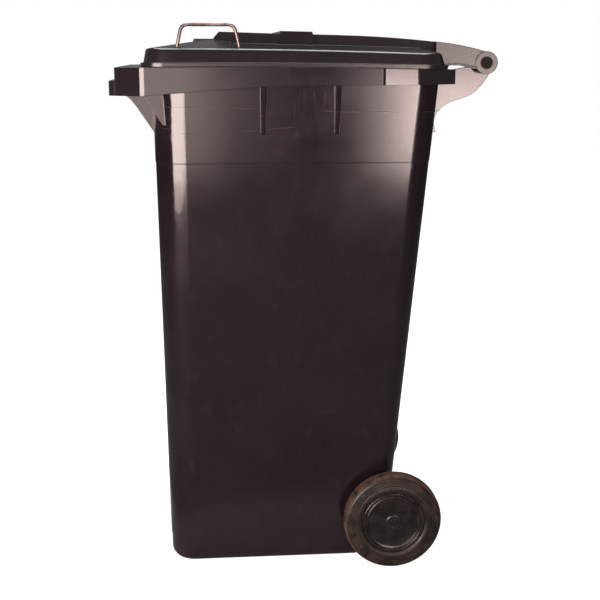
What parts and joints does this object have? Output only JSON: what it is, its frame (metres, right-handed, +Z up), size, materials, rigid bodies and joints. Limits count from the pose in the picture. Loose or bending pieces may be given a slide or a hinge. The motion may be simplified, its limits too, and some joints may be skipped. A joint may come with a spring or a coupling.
{
  "type": "wheelie bin",
  "caption": "Two-wheeled refuse bin with a tapered tub, comb rim, rear grab bar, hinged lid with a wire handle and rubber-tyred wheels.",
  "frame": {"origin": "centre of the bounding box of the footprint, on the ground", "axes": "+X to the left of a person pushing the bin by its rear handle, +Y from the front comb to the hinge, +Z up"},
  "size_m": [0.58, 0.741, 1.0905],
  "materials": {
    "shell": "semi-gloss moulded dark brown polyethylene, finely scratched",
    "lid": "semi-gloss moulded dark brown polyethylene",
    "hub": "satin black moulded plastic",
    "pin": "dark moulded nylon",
    "tyre": "solid rubber, dusty brown tread",
    "wire": "bright zinc-plated wire, dulled",
    "steel": "zinc-plated steel"
  },
  "bodies": {
    "bin": {"body": "shell", "axle": "steel", "axle_washers": "steel", "hinge_pin_left": "pin", "hinge_pin_right": "pin"},
    "lid": {"lid": "lid", "lid_handle": "wire", "handle_nuts": "steel", "handle_washers": "steel"},
    "wheel_left": {"tyre_left": "tyre", "wheel_core_left": "hub", "wheel_cap_left": "hub", "lock_spring_left": "steel", "lock_plug_left": "hub"},
    "lock_left": {"lock_pin_left": "steel"},
    "wheel_right": {"tyre_right": "tyre", "wheel_core_right": "hub", "wheel_cap_right": "hub", "lock_spring_right": "steel", "lock_plug_right": "hub"},
    "lock_right": {"lock_pin_right": "steel"}
  },
  "joints": [
    {"name": "lid_hinge", "type": "hinge", "parent": "bin", "child": "lid", "pos_m": [0, 0.3488, 1.0177], "axis": [-1, 0, 0], "range_deg": [0, 270]},
    {"name": "wheel_spin_left", "type": "hinge", "parent": "bin", "child": "wheel_left", "pos_m": [0, 0.176, 0.1], "axis": [1, 0, 0], "continuous": true},
    {"name": "lock_slide_left", "type": "slide", "parent": "wheel_left", "child": "lock_left", "axis": [0, 0, 1], "range_m": [0, 0.0028], "stiffness_N_per_m": 400, "springref_m": -0.004, "deforming": ["lock_spring_left"]},
    {"name": "wheel_spin_right", "type": "hinge", "parent": "bin", "child": "wheel_right", "pos_m": [0, 0.176, 0.1], "axis": [1, 0, 0], "continuous": true},
    {"name": "lock_slide_right", "type": "slide", "parent": "wheel_right", "child": "lock_right", "axis": [0, 0, 1], "range_m": [0, 0.0028], "stiffness_N_per_m": 400, "springref_m": -0.004, "deforming": ["lock_spring_right"]}
  ]
}
